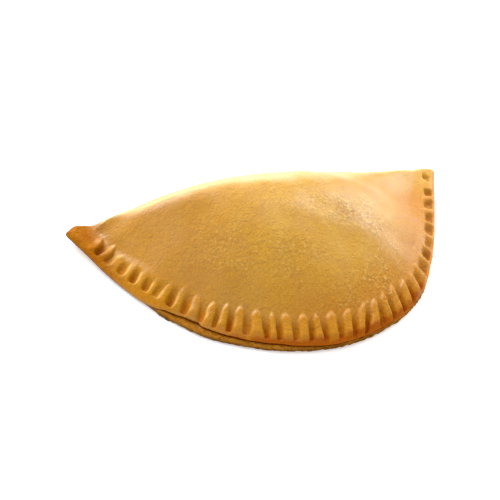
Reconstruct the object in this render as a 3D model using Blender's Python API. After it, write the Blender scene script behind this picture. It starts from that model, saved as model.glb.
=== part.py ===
"""A half-moon meat pie: a round of pastry folded over its filling and sealed with a fork.

Metres, +Z up. The pie rests on its flat base at z = 0. The fold runs along X at the back (+Y), and the
crimped rim sweeps round the front (-Y). The origin is under the middle of the pie's bounding box.

The crust is one closed skin of rings. Every ring has the same columns: round the rim from the left tip to the
right tip, one fan of columns for each fork mark, then back along the fold. The rings run from the edge of the
base, up the two sealed layers of dough and over the crimps and the dome to its top.
"""

import math

import bmesh
import bpy

MM = 0.001

# Plan of the pie
RIM_RADIUS = 68 * MM  # the round that was folded in half
RIM_WAVES = (-0.0185, 0.017, 0.005)  # how the hand-cut round strays, once, twice and three times about
RIM_WIDER_RIGHT = 0.015
# Its smaller unevenness: (degrees from the front, millimetres)
RIM_STRAYS = (
    ((-82, 0.0), (-76, 0.5), (-70, 0.5), (-58, 0.1), (-52, 0.1), (-46, 0.3), (-40, 0.8), (-34, 0.5), (-28, 0.1))
    + ((-10, 0.1), (-4, 0.3), (2, 0.5), (8, 0.4), (14, 0.2), (20, 0.1), (26, 0.5), (38, 0.9), (44, 0.6))
    + ((50, -0.1), (56, 0.1), (62, 0.5), (68, 0.6), (80, 0.4), (87, 0.4))
)
TIP_DRAWN_LEFT = 0.112  # how far past that round each tip is drawn out, as a share of its radius
TIP_DRAWN_RIGHT = 0.159
TIP_ROUNDING_PASSES = 3
FOLD_BULGE = 0.7 * MM  # the fold's belly behind the line between the tips
FOLD_SWEEP = 0.6 * MM  # how far the right end of the pie is swept back
CORNER_BACK_LEFT = 3.0 * MM  # how far the flat corners stand back of the fold's line
CORNER_BACK_RIGHT = 2.6 * MM
TIP_LIFT_LEFT = 3.2 * MM  # how far the left tip curls up off the tray

# Dome of filling
DOME_HEIGHT = 28.1 * MM
DOME_FULLNESS = 2.1  # power of the curve from the rim up to the top
DOME_FULLER_LEFT = 0.14
DOME_FULLER_FRONT = 0.07
DOME_STEEPER_LEFT_TIP = 0.25
DOME_STEEPER_RIGHT = 0.2
DOME_LEAN = -0.26  # share of height lost over the rim's radius towards the right tip
DOME_FOOT = 1.4 * MM  # how softly the dome grows out of the rim
DOME_FOOT_AT_LEFT_TIP = 0.5 * MM
FOLD_ROUND = 0.60  # the fold's rounding at the top, as a share of the height there
FOLD_POWER = 2.8
FOLD_ROUNDER_RIGHT = 0.2
FOLD_MID = 0.43  # height of the fold's backmost line, as a share of the height there
FOLD_UNDER = 0.24  # the fold's rounding underneath
TIP_BLEND = 9 * MM  # along the fold, from the pinched tip to the rounded fold
FOLD_EDGE_ROUND = 1.5 * MM
FOLD_EDGE_HEIGHT = 3.2 * MM

# Sealed rim: two layers of dough, which slope up to the dome except at the tips
SEAL_WIDTH = 9.1 * MM
SEAL_WIDER_RIGHT = 2.2 * MM
SEAL_WIDER_LEFT_TIP = 3.0 * MM
RIM_THICKNESS = 4.5 * MM
LEFT_TIP_THINNER = 1.4 * MM
RIM_SLOPE = 0.4
LEFT_TIP_FLAT_DEG = (62, 88)
RIGHT_TIP_FLAT_DEG = (55, 85)
LAYERS_SHOW_DEG = (-63, -53, 72, 86)  # from where to where the two layers can be told apart
SEAM_HEIGHT = 2.4 * MM
UPPER_EDGE_ABOVE_SEAM = 1.1 * MM
UPPER_EDGE_ROUND = 2.2 * MM
MERGED_EDGE_HEIGHT = 1.6 * MM
MERGED_EDGE_ROUND = 3.0 * MM
MERGED_EDGE_UNDER = 1.8 * MM
# How far the lower layer stands out beyond the upper one: (degrees from the front, millimetres)
LEDGE = (
    ((-55, 0.0), (-51, 1.3), (-47, 1.9), (-42.6, 2.5), (-41.2, 1.4), (-33, 1.2), (-22, 0.9), (-5, 0.45), (10, 0.2))
    + ((25, 0.05), (60, 0.2), (80, 0.1))
)
# The two layers' edge in section, from the base up: inset from the outline in millimetres, the share of the ledge
# that is added to it, height in millimetres, and the share of the seam's height that is added to that
LAYERED_EDGE = (
    (1.6, 0.0, 0.0, 0.0),
    (0.15, 0.0, 0.3, 0.0),
    (0.0, 0.0, 1.0, 0.0),
    (0.3, 0.0, 0.0, 0.9),
    (0.6, 0.3, 0.0, 1.0),
    (0.8, 1.0, 0.1, 1.0),
    (0.1, 1.0, 0.6, 1.0),
)

# Fork marks
CRIMP_FIRST_DEG = -83.48
CRIMP_PITCH_FIRST_DEG = 5.02
CRIMP_PITCH_LAST_DEG = 5.49
# How far each mark strays from even spacing, as a share of it
CRIMP_STRAYS = (
    (0.50, 0.25, 0.33, 0.22, 0.24, 0.01, 0.00, -0.01, 0.13, 0.04, -0.10, -0.04, 0.27, 0.00, 0.07, 0.08, -0.08)
    + (-0.05, -0.06, -0.12, 0.04, -0.17, -0.25, -0.19, -0.14, -0.06, 0.21, -0.01, 0.24, 0.22, 0.38, 0.34, 0.38)
)
CRIMP_COUNT = len(CRIMP_STRAYS)
CRIMP_DEPTH = 1.8 * MM
CRIMP_FADE = 0.6  # share of a mark over which it runs out against the dome
CRIMP_SHARPNESS = 1.3
CRIMP_PUFF = 0.7 * MM  # how far the dough stands up between the marks at the front
PUFFED_DEG = (-60, -38, 40, 50)
# Inset from the rim where a mark begins, where it has its full depth, and where it ends
CRIMP_BEGIN = ((-86, 1.4), (-74, 1.8), (-38, 1.4), (-10, 1.0), (3, 0.4), (12, -0.3), (34, -0.4), (50, 0.8), (84, 2.4))
CRIMP_FULL = ((-86, 3.4), (-60, 3.2), (-38, 3.0), (-10, 2.8), (3, 2.0), (12, 1.2), (34, 1.2), (50, 2.0), (84, 3.4))
CRIMP_END = ((-86, 9.6), (-74, 8.0), (-60, 8.0), (-38, 9.4), (12, 8.8), (34, 8.0), (42, 6.8), (50, 5.8), (80, 5.2))
COLUMNS_PER_CRIMP = 5

# Resolution of the skin
LEFT_TIP_COLUMNS = 4
RIGHT_TIP_COLUMNS = 2
FOLD_COLUMNS = 38
FOLD_SPACING_AT_TIPS = 0.4  # of the spacing of even columns
STRAIGHT_RUN = 11.8 * MM  # how far the rim's columns run straight in, along the fork marks
INNER_LOOP_HALF_WIDTH = 32 * MM
INNER_LOOP_BACK_Y = -11.5 * MM
INNER_LOOP_DEPTH = 20 * MM
DOME_CENTRE_Y = -20 * MM
BASE_MIDDLE_Y = -28 * MM
BASE_RING_SHARE = 0.78  # place of the base's inner ring, which stays flat under the lifted tip
RIM_SHARES = (0.034, 0.11, 0.237, 0.38, 0.525, 0.67, 0.81, 1.0)  # of the straight run
DOME_SHARES = (0.10, 0.24, 0.42, 0.67, 1.0)  # rings from there to the inner loop
CENTRE_SHARES = (0.67, 0.33)  # and from the inner loop to the centre

CRUST_COLOUR = (0.52, 0.25, 0.03, 1.0)


def share(value, low, high):
    """Where value lies between low and high, from 0 to 1, eased at both ends."""
    t = min(1.0, max(0.0, (value - low) / (high - low)))
    return t * t * (3.0 - 2.0 * t)


def share_deg(angle, low, high):
    return share(math.degrees(angle), low, high)


def mix(a, b, weight):
    return a + (b - a) * weight


def between(value, table):
    """Height at value of the broken line through a table of points."""
    if value <= table[0][0]:
        return table[0][1]
    for (low, start), (high, end) in zip(table, table[1:]):
        if value <= high:
            return mix(start, end, (value - low) / (high - low))
    return table[-1][1]


def soft_rise(value, softness):
    """value where it is well above 0, and 0 well below, with a rounded corner between."""
    scaled = value / softness
    return softness * math.log1p(math.exp(scaled)) if scaled < 30 else value


def rim_radius(angle):
    """Distance from the fold's middle to the rim. angle is 0 at the front and a quarter turn at each tip.

    Between the tips it is a slightly wavy circle; near each tip it is the straight line from the tip that
    touches the circle.
    """
    waves = sum(wave * math.sin((i + 1) * angle) for i, wave in enumerate(RIM_WAVES))
    waves += RIM_WIDER_RIGHT * share_deg(angle, -5, 30)
    drawn = TIP_DRAWN_LEFT if angle < 0 else TIP_DRAWN_RIGHT
    touch = math.acos(1.0 / (1.0 + drawn))
    from_tip = math.pi / 2 - abs(angle)
    strays = between(math.degrees(angle), RIM_STRAYS) * MM
    return RIM_RADIUS * (1.0 + waves) / math.cos(max(0.0, touch - from_tip)) + strays


LEFT_TIP = rim_radius(-math.pi / 2)
RIGHT_TIP = rim_radius(math.pi / 2)


def tip_gap(x):
    """Distance along X from the nearer tip."""
    return LEFT_TIP + x if x < 0 else RIGHT_TIP - x


def radial(angle, distance):
    """Plan point at that distance from the fold's middle."""
    return distance * math.sin(angle), -distance * math.cos(angle)


def rim_inset(x, y):
    """(inset from the rim, angle, radius of the rim) of a plan point. Behind the fold's line it goes by x alone."""
    forward = max(0.0, -y)
    angle = math.atan2(x, forward + 1e-9)
    radius = rim_radius(angle)
    return radius - math.hypot(x, forward), angle, radius


def seal_width(angle):
    """Width of the sealed rim: greater on the right flank, and greatest at the left tip."""
    return SEAL_WIDTH + SEAL_WIDER_RIGHT * share_deg(angle, 45, 70) + SEAL_WIDER_LEFT_TIP * share_deg(-angle, 81, 90)


def crust_height(x, y):
    """Height of the pastry's top before the fold rounds it off: the sloping seal, then the dome of filling."""
    inset, angle, radius = rim_inset(x, y)
    flat = share_deg(-angle, *LEFT_TIP_FLAT_DEG) if angle < 0 else share_deg(angle, *RIGHT_TIP_FLAT_DEG)
    slope = RIM_SLOPE * (1.0 - flat)
    thickness = RIM_THICKNESS - LEFT_TIP_THINNER * share_deg(-angle, *RIGHT_TIP_FLAT_DEG)
    width = seal_width(angle)
    at_left_tip = share_deg(-angle, 60, 85)
    foot_round = mix(DOME_FOOT, DOME_FOOT_AT_LEFT_TIP, at_left_tip)
    seal = thickness + slope * (width - soft_rise(width - inset, foot_round))
    climb = min(1.0, soft_rise(inset - width, foot_round) / (radius - width))
    fuller = 1.0 - DOME_FULLER_LEFT * math.sin(angle) + DOME_FULLER_FRONT * math.cos(2 * angle)
    fuller += DOME_STEEPER_LEFT_TIP * at_left_tip
    fuller += DOME_STEEPER_RIGHT * share_deg(angle, 20, 50) * (1.0 - share_deg(angle, 65, 90))
    crown = DOME_HEIGHT * (1.0 + DOME_LEAN * x / RIM_RADIUS)
    foot = thickness + slope * width
    return seal + (crown - foot) * (1.0 - (1.0 - climb) ** (DOME_FULLNESS * fuller))


def fold_line(x):
    """Plan Y of the fold's backmost line: nearly straight, with the flat corners standing back of it."""
    tip = LEFT_TIP if x < 0 else RIGHT_TIP
    gap = tip_gap(x)
    belly = FOLD_BULGE * max(0.0, 1.0 - (x / tip) ** 2)
    if x < 0:
        return belly + CORNER_BACK_LEFT * share(-gap, -28 * MM, -9 * MM) * share(gap, 0.0, 6 * MM)
    return belly + CORNER_BACK_RIGHT * share(-gap, -45 * MM, -12 * MM) * mix(0.4, 1.0, share(gap, 0.0, 7 * MM))


def fold_rounding(x):
    """(plan depth of the fold's rounding, height of its backmost line), which become a thin edge's at the tips."""
    height = crust_height(x, 0.0)
    at_tip = 1.0 - share(tip_gap(x), 0.0, TIP_BLEND)
    rounding = FOLD_ROUND * height * (1.0 + FOLD_ROUNDER_RIGHT * x / RIM_RADIUS)
    return mix(rounding, FOLD_EDGE_ROUND, at_tip), mix(FOLD_MID * height, FOLD_EDGE_HEIGHT, at_tip)


def crimp_place(angle):
    """Place along the row of fork marks: whole numbers at the grooves, with the pitch widening to the right."""
    first = math.radians(CRIMP_FIRST_DEG)
    pitch = math.radians(CRIMP_PITCH_FIRST_DEG)
    growth = math.radians(CRIMP_PITCH_LAST_DEG - CRIMP_PITCH_FIRST_DEG) / (CRIMP_COUNT - 1) / 2
    even = (-pitch + math.sqrt(max(0.0, pitch * pitch + 4 * growth * (angle - first)))) / (2 * growth)
    before = even - CRIMP_STRAYS[0]
    if before <= 0.0:
        return before
    return between(even, [(mark + stray, mark) for mark, stray in enumerate(CRIMP_STRAYS)])


def crimp_angle(place):
    """The angle at a place along the row: the inverse of crimp_place."""
    growth = (CRIMP_PITCH_LAST_DEG - CRIMP_PITCH_FIRST_DEG) / (CRIMP_COUNT - 1) / 2
    even = place + between(place, list(enumerate(CRIMP_STRAYS)))
    return math.radians(CRIMP_FIRST_DEG + CRIMP_PITCH_FIRST_DEG * even + growth * even * even)


def crimp_relief(inset, angle):
    """How far the fork's marks lower or raise the top: rounded grooves across the seal, and puffed dough between."""
    degrees = math.degrees(angle)
    begin, full, end = (between(degrees, run) * MM for run in (CRIMP_BEGIN, CRIMP_FULL, CRIMP_END))
    wave = 0.5 + 0.5 * math.cos(2 * math.pi * crimp_place(angle))
    along = share(inset, begin, full) * (1.0 - share(inset, mix(end, begin, CRIMP_FADE), end))
    puffed = share(degrees, *PUFFED_DEG[:2]) * (1.0 - share(degrees, *PUFFED_DEG[2:]))
    in_row = share(crimp_place(angle), -0.5, -0.1)
    return (CRIMP_PUFF * puffed * (1.0 - wave) - CRIMP_DEPTH * wave**CRIMP_SHARPNESS) * along * in_row


class Column:
    """One line of vertices, from the edge of the base up and over to the dome's centre."""

    def __init__(self, x, y, inner, inward, angle):
        self.x, self.y = x, y
        self.inner = inner  # its point on the inner loop
        self.inward = inward  # the way it sets out from the outline, or None for straight to that point
        self.rim_share = 1.0 if inward else 1.0 - share(tip_gap(x), 0.0, TIP_BLEND)  # 1 on the rim, 0 on the fold
        shown = share_deg(angle, *LAYERS_SHOW_DEG[:2]) * (1.0 - share_deg(angle, *LAYERS_SHOW_DEG[2:]))
        self.layered = shown if inward else 0.0  # how clearly the two layers can be told apart
        self.ledge = between(math.degrees(angle), LEDGE) * MM * self.layered
        self.normal = (0.0, 0.0)  # into the pie, square to the outline

    def plan_rings(self):
        """Each ring's plan point and its run from the edge: straight in across the rim, then to the inner loop."""
        rings = len(RIM_SHARES) + len(DOME_SHARES)
        if self.inward is None:
            across = math.dist((self.x, self.y), self.inner)
            for ring in range(1, rings + 1):
                part = (ring / rings) ** 2
                at = mix(part * across, STRAIGHT_RUN * part, self.rim_share)
                yield mix(self.x, self.inner[0], part), mix(self.y, self.inner[1], part), at
            return
        edge_x, edge_y = self.inset_point(self.ledge)
        run = STRAIGHT_RUN - self.ledge
        for part in RIM_SHARES:
            yield edge_x + self.inward[0] * run * part, edge_y + self.inward[1] * run * part, run * part
        bend_x, bend_y = edge_x + self.inward[0] * run, edge_y + self.inward[1] * run
        for part in DOME_SHARES:
            yield mix(bend_x, self.inner[0], part), mix(bend_y, self.inner[1], part), run

    def inset_point(self, inset):
        return self.x + self.normal[0] * inset, self.y + self.normal[1] * inset

    def plain_edge(self):
        """Height of the widest line where the two layers are pinched into one, and along the fold."""
        return mix(fold_rounding(self.x)[1], MERGED_EDGE_HEIGHT, self.rim_share)

    def edge(self):
        """(rounding, height) of the top's outer edge here."""
        rounding = mix(MERGED_EDGE_ROUND, UPPER_EDGE_ROUND, self.layered)
        return rounding, mix(self.plain_edge(), SEAM_HEIGHT + UPPER_EDGE_ABOVE_SEAM, self.layered)

    def skirt(self):
        """The points under the outer edge, lowest first: the two layers on the rim, a quarter round elsewhere."""
        under = mix(FOLD_UNDER * crust_height(self.x, 0.0), MERGED_EDGE_UNDER, self.rim_share)
        for step, (inset, of_ledge, height, of_seam) in enumerate(LAYERED_EDGE):
            turn = math.pi / 2 * (1.0 - step / len(LAYERED_EDGE))
            layered_at = inset * MM + of_ledge * self.ledge
            layered_height = height * MM + of_seam * SEAM_HEIGHT
            x, y = self.inset_point(mix(under * (1.0 - math.cos(turn)), layered_at, self.layered))
            yield x, y, mix(self.plain_edge() * (1.0 - math.sin(turn)), layered_height, self.layered)

    def top(self):
        """The points from the outer edge inwards, over the crimps and the dome's foot."""
        yield *self.inset_point(self.ledge), self.edge()[1]
        for x, y, at in self.plan_rings():
            yield self.on_crust(x, y, at)
        for part in CENTRE_SHARES:
            yield self.on_crust(self.inner[0] * part, mix(DOME_CENTRE_Y, self.inner[1], part), STRAIGHT_RUN)

    def on_crust(self, x, y, at):
        """The top over a plan point, at a run from the edge: rounded off at fold and rim, with the fork marks."""
        inset, angle, _ = rim_inset(x, y)
        rounding, mid = fold_rounding(x)
        from_fold = min(1.0, max(0.0, (fold_line(x) - y) / rounding))
        height = mix(mid, crust_height(x, y), math.sqrt(1.0 - (1.0 - from_fold) ** FOLD_POWER))
        height += crimp_relief(inset, angle) * share(from_fold, 0.05, 0.6)
        edge_rounding, edge_height = self.edge()
        if at < edge_rounding:
            round_off = math.sqrt(1.0 - (1.0 - at / edge_rounding) ** 2)
            height = mix(height, mix(edge_height, height, round_off), self.rim_share)
        return x, y, height


def straight_in(angle, start, inner):
    """The way a rim column sets out: along the fork marks, and at the very tip towards the inner loop."""
    across = math.dist(start, inner)
    to_tip = share_deg(abs(angle), abs(CRIMP_FIRST_DEG), 90)
    x = mix(-math.sin(angle), (inner[0] - start[0]) / across, to_tip)
    y = mix(math.cos(angle), (inner[1] - start[1]) / across, to_tip)
    return x / math.hypot(x, y), y / math.hypot(x, y)


def outline_columns():
    """The columns round the rim from left tip to right tip, then back along the fold."""
    first, last = crimp_angle(0), crimp_angle(CRIMP_COUNT - 1)
    angles = [mix(-math.pi / 2, first, step / LEFT_TIP_COLUMNS) for step in range(LEFT_TIP_COLUMNS)]
    angles += [crimp_angle(step / COLUMNS_PER_CRIMP) for step in range((CRIMP_COUNT - 1) * COLUMNS_PER_CRIMP)]
    angles += [mix(last, math.pi / 2, step / RIGHT_TIP_COLUMNS) for step in range(RIGHT_TIP_COLUMNS + 1)]
    columns = []
    for angle in angles:
        x, y = radial(angle, rim_radius(angle))
        inner = INNER_LOOP_HALF_WIDTH * math.sin(angle), INNER_LOOP_BACK_Y - INNER_LOOP_DEPTH * math.cos(angle)
        columns.append(Column(x, y, inner, straight_in(angle, (x, y), inner), angle))
    for step in range(1, FOLD_COLUMNS):
        turn = 2 * math.pi * step / FOLD_COLUMNS
        along = (turn - (1.0 - FOLD_SPACING_AT_TIPS) * math.sin(turn)) / (2 * math.pi)
        x = mix(RIGHT_TIP, -LEFT_TIP, along)
        inner = mix(INNER_LOOP_HALF_WIDTH, -INNER_LOOP_HALF_WIDTH, along), INNER_LOOP_BACK_Y
        columns.append(Column(x, fold_line(x), inner, None, math.copysign(math.pi / 2, x)))
    return columns


def neighbours(columns):
    """Each column with the one before it and the one after it, round the closed outline."""
    return zip(columns[-1:] + columns[:-1], columns, columns[1:] + columns[:1])


def round_corners(columns):
    """Eases the outline's two corners by moving each column near a tip towards its neighbours' middle."""
    for _ in range(TIP_ROUNDING_PASSES):
        eased = []
        for before, column, after in neighbours(columns):
            near_tip = 0.5 * share(abs(column.x), RIM_RADIUS, 1.06 * RIM_RADIUS)
            middle_x, middle_y = (before.x + after.x) / 2, (before.y + after.y) / 2
            eased.append((mix(column.x, middle_x, near_tip), mix(column.y, middle_y, near_tip)))
        for column, (x, y) in zip(columns, eased):
            column.x, column.y = x, y


def aim_normals(columns):
    """Sets each column's inward normal from the chord between its neighbours."""
    for before, column, after in neighbours(columns):
        chord = math.hypot(after.x - before.x, after.y - before.y)
        column.normal = (before.y - after.y) / chord, (after.x - before.x) / chord


def placed(point):
    """The point after the left tip is lifted and the right end of the pie is swept back a little."""
    x, y, z = point
    lift = TIP_LIFT_LEFT * share(-tip_gap(x), -15 * MM, 3 * MM) if x < 0 else 0.0
    return x, y + FOLD_SWEEP * max(0.0, x / RIM_RADIUS) ** 2, z + lift


def base_ring_point(edge_point):
    """The point of the base's inner ring inside a point of its edge."""
    x, y, z = edge_point
    return x * BASE_RING_SHARE, mix(BASE_MIDDLE_Y, y, BASE_RING_SHARE), z


def crust_skin():
    """The closed skin: rings of quads, a flat base and a fan at the dome's centre."""
    columns = outline_columns()
    round_corners(columns)
    aim_normals(columns)
    mesh = bmesh.new()
    lines = []
    for column in columns:
        skirt = list(column.skirt())
        points = (base_ring_point(skirt[0]), *skirt, *column.top())
        lines.append([mesh.verts.new(placed(point)) for point in points])
    for line, following in zip(lines, lines[1:] + lines[:1]):
        for low in range(len(line) - 1):
            mesh.faces.new((line[low], following[low], following[low + 1], line[low + 1]))
    mesh.faces.new([line[0] for line in reversed(lines)])
    middle = mesh.faces.new([line[-1] for line in lines])
    crown = bmesh.ops.poke(mesh, faces=[middle])["verts"][0]
    crown.co = (0.0, DOME_CENTRE_Y, crust_height(0.0, DOME_CENTRE_Y))
    return mesh


def centre_on_base(mesh):
    """Moves the skin so that the origin is under the middle of its bounding box."""
    xs = [vert.co.x for vert in mesh.verts]
    ys = [vert.co.y for vert in mesh.verts]
    shift = (-(min(xs) + max(xs)) / 2, -(min(ys) + max(ys)) / 2, 0.0)
    bmesh.ops.translate(mesh, verts=mesh.verts[:], vec=shift)


def pastry_material():
    """Baked, egg-washed shortcrust."""
    material = bpy.data.materials.new("baked_pastry")
    material.use_nodes = True
    shader = material.node_tree.nodes["Principled BSDF"]
    shader.inputs["Base Color"].default_value = CRUST_COLOUR
    shader.inputs["Roughness"].default_value = 0.45
    shader.inputs["Metallic"].default_value = 0.0
    return material


def meat_pie():
    skin = crust_skin()
    centre_on_base(skin)
    bmesh.ops.recalc_face_normals(skin, faces=skin.faces[:])
    mesh = bpy.data.meshes.new("meat_pie")
    skin.to_mesh(mesh)
    skin.free()
    mesh.shade_smooth()
    mesh.set_sharp_from_angle(angle=math.radians(50))
    mesh.materials.append(pastry_material())
    pie = bpy.data.objects.new("meat_pie", mesh)
    bpy.context.scene.collection.objects.link(pie)
    return pie


for leftover in list(bpy.data.objects):
    bpy.data.objects.remove(leftover)
meat_pie()
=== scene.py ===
"""The looks of a half-moon meat pie: golden, egg-washed pastry folded over its filling, sealed with a fork.

Metres, +Z up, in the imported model's frame. Shapes are worked out in the fold's own frame, whose origin is the
middle of the fold's line, with X along it and -Y towards the crimped rim. They are then moved so that the
origin lies under the middle of the outline's box.

The crust is one closed skin on a grid. There is a column for each place round the outline: the rim from the
left tip to the right, then back along the fold. There is a ring for each step from the middle of the base out
to its edge, up the two layers of dough, over the fork marks and up the dome to its crown.
"""

import math

import bpy
import numpy as np
from mathutils import Matrix, Vector


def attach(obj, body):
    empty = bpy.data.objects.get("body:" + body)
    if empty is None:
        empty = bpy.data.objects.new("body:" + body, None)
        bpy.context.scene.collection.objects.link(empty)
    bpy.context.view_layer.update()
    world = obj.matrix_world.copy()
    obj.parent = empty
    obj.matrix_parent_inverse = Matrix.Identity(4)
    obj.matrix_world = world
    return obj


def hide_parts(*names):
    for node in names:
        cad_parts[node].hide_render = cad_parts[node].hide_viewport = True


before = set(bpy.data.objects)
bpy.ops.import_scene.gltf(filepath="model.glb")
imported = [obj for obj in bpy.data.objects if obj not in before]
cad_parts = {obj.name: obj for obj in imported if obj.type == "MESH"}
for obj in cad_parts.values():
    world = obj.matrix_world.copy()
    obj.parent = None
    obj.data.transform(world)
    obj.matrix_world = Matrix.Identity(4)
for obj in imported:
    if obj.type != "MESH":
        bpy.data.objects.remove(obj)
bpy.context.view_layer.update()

MM = 0.001
TURN = 2 * math.pi
QUARTER = math.pi / 2


def angles(*degrees):
    return tuple(math.radians(degree) for degree in degrees)


# Where a shape or a finish changes, a pair of values below is where its eased change begins and ends. Four
# values are a window: the rise begins and ends at the first two, and the fall at the last two. Angles are
# from the front, positive to the right. Ripples are given by strength and size in millimetres, and seed.

# Plan of the pie
RIM_RADIUS = 68 * MM
RIM_WAVES = (-0.0185, 0.017, 0.005)
RIM_WIDER_RIGHT = 0.015
RIM_WIDER_AT = angles(-5, 30)
# Small unevenness of the outline: (degrees from the front, millimetres)
RIM_STRAYS = (
    ((-82, 0.0), (-76, 0.5), (-70, 0.5), (-58, 0.1), (-52, 0.1), (-46, 0.3), (-40, 0.8), (-34, 0.5))
    + ((-28, 0.1), (-10, 0.1), (-4, 0.3), (2, 0.5), (8, 0.4), (14, 0.2), (20, 0.1), (26, 0.5), (38, 0.9))
    + ((44, 0.6), (50, -0.1), (56, 0.1), (62, 0.5), (68, 0.6), (80, 0.4), (87, 0.4))
)
TIP_DRAWN_LEFT = 0.112  # how far the tips are drawn out beyond the circle, as a share of its radius
TIP_DRAWN_RIGHT = 0.159
TIP_ROUNDING = 1.1 * MM
FOLD_BULGE = 0.7 * MM
FOLD_SWEEP = 0.6 * MM
CORNER_BACK_LEFT = 3.0 * MM  # how far the flat corners stand back of the fold's line
CORNER_BACK_RIGHT = 2.6 * MM
CORNER_REACH_LEFT = (9 * MM, 28 * MM)
CORNER_REACH_RIGHT = (12 * MM, 45 * MM)
CORNER_ROUND_LEFT = 6 * MM
CORNER_ROUND_RIGHT = 7 * MM
CORNER_KEPT_RIGHT = 0.4
TIP_LIFT_LEFT = 3.2 * MM
TIP_LIFT_REACH = (-3 * MM, 15 * MM)

# Dome of filling
DOME_HEIGHT = 28.1 * MM
DOME_FULLNESS = 2.1
DOME_FULLER_LEFT = 0.14
DOME_FULLER_FRONT = 0.07
DOME_LEAN = -0.26
DOME_FOOT = 1.4 * MM
DOME_FOOT_AT_LEFT_TIP = 0.5 * MM
DOME_STEEPER_LEFT_TIP = 0.25
DOME_STEEPER_RIGHT = 0.2
LEFT_TIP_AT = angles(60, 85)
RIGHT_FLANK_AT = angles(20, 50, 65, 90)
FOLD_ROUND = 0.60
FOLD_POWER = 2.8
FOLD_ROUNDER_RIGHT = 0.2
FOLD_MID = 0.43
FOLD_UNDER = 0.24
TIP_BLEND = 9 * MM  # along the fold, from the layered tip to the rounded fold
SWELLS = ((0.16, 36, 1), (0.05, 14, 2))
SWELLS_INSET = (8 * MM, 22 * MM)

# Sealed rim
SEAL_WIDTH = 9.1 * MM
SEAL_WIDER_RIGHT = 2.2 * MM
SEAL_WIDER_RIGHT_AT = angles(45, 70)
SEAL_WIDER_LEFT_TIP = 3.0 * MM
SEAL_WIDER_LEFT_AT = angles(81, 90)
RIM_THICKNESS = 4.5 * MM
RIM_UNDER = 1.8 * MM
RIM_SLOPE = 0.4
LEFT_TIP_THINNER = 1.4 * MM
LEFT_TIP_THINNER_AT = angles(55, 85)
LEFT_TIP_FLAT = angles(62, 88)
RIGHT_TIP_FLAT = angles(55, 85)
UPPER_EDGE_ROUND = 2.2 * MM
UPPER_EDGE_OVER_SEAM = 1.1 * MM
MERGED_EDGE_ROUND = 3.0 * MM
MERGED_EDGE_HEIGHT = 1.6 * MM
FOLD_EDGE_ROUND = 1.5 * MM
FOLD_EDGE_HEIGHT = 3.2 * MM
SEAM_HEIGHT = 2.6 * MM
SEAM_LOWER_RIGHT = 0.5 * MM
SEAM_LOWER_AT = angles(-35, 10)
SEAM_WANDER = ((0.25, 25, 5), (0.10, 7, 6))
# How far the lower layer stands out beyond the upper one: (degrees from the front, millimetres)
LEDGE = (
    ((-55, 0.0), (-51, 1.3), (-47, 1.9), (-42.6, 2.5), (-41.2, 1.4), (-33, 1.2), (-22, 0.9), (-5, 0.45))
    + ((10, 0.2), (25, 0.05), (60, 0.2), (80, 0.1))
)
LEDGE_WAVER = ((0.10, 18, 7),)  # its strength is a share of the ledge
LAYERS_SHOW = angles(-63, -53, 72, 86)
# The two layers' edge in section, from the base up: inset from the outline and height in millimetres, with
# the shares of the ledge and of the seam's height that are added to them, and how dark the seam makes it
LAYERED_EDGE = (
    # inset, ledge, height, seam, dark
    (1.6, 0.0, 0.0, 0.0, 0.0),
    (0.7, 0.0, 0.0, 0.0, 0.0),
    (0.2, 0.0, 0.25, 0.0, 0.0),
    (0.0, 0.0, 0.7, 0.0, 0.0),
    (0.0, 0.0, 1.3, 0.0, 0.0),
    (0.12, 0.0, 0.0, 0.75, 0.05),
    (0.32, 0.0, 0.0, 0.92, 0.1),
    (0.6, 0.0, 0.0, 1.0, 0.2),
    (0.42, 0.8, 0.0, 1.0, 0.4),
    (0.35, 1.0, 0.0, 1.0, 1.0),
    (0.8, 1.0, 0.12, 1.0, 1.0),
    (0.42, 1.0, 0.38, 1.0, 0.5),
    (0.1, 1.0, 0.72, 1.0, 0.15),
    (0.0, 1.0, 1.1, 1.0, 0.0),
)
CUT_SIDE_ENDS = (0.3, 0.9)  # shares of the ledge over which the lower layer's cut side ends
# Faint crease where the right flank meets the seal
CREASE_AT = angles(47, 53, 60, 68)
CREASE_INSET = 8.6 * MM
CREASE_DEPTH = 0.22 * MM
CREASE_WIDTH = 0.7 * MM
# Crumb of the cut dough: strength in millimetres, stretch along the height, size in millimetres, and seed
CRUMB = ((0.10, 3.0, 5.0, 11), (0.10, 4.0, 2.2, 12), (0.05, 3.0, 1.0, 13))
CRUMB_RISE = (0.02 * MM, 0.5 * MM)

# Fork marks
MARKS = 33
MARKS_BEYOND = 2  # further marks at either end, which the row is worked out with
FIRST_MARK = math.radians(-83.48)
FIRST_PITCH = math.radians(5.02)
LAST_PITCH = math.radians(5.49)
# How far each mark strays from even spacing, as a share of it
MARK_STRAYS = (
    (0.50, 0.25, 0.33, 0.22, 0.24, 0.01, 0.00, -0.01, 0.13, 0.04, -0.10, -0.04, 0.27, 0.00, 0.07, 0.08, -0.08)
    + (-0.05, -0.06, -0.12, 0.04, -0.17, -0.25, -0.19, -0.14, -0.06, 0.21, -0.01, 0.24, 0.22, 0.38, 0.34)
    + (0.38,)
)
MARK_SEED = 33
MARK_DEPTH = 1.8 * MM
MARK_EDGE_POWER = 3.0
MARK_SPREAD = 0.12  # of the marks' depths and widths, as a share
MARK_DEPTH_LIMITS = (0.7, 1.25)
MARK_WIDTH_LIMITS = (0.75, 1.3)
MARK_LENGTH_SPREAD = 0.5 * MM
MARK_LEAN_SPREAD = 0.016  # pitches per millimetre
MARK_LEANS_ABOUT = 4 * MM
ROW_BEGINS = (-0.8, -0.3)
ROW_ENDS = (MARKS - 0.8, MARKS - 0.4)
MARKS_CLEAR_OF_FOLD = (0.05, 0.6)
WEAK_MARKS = {1: 0.4, 5: 0.45, 32: 0.6}
RIDGE_HALF_WIDTH = 0.36
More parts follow.
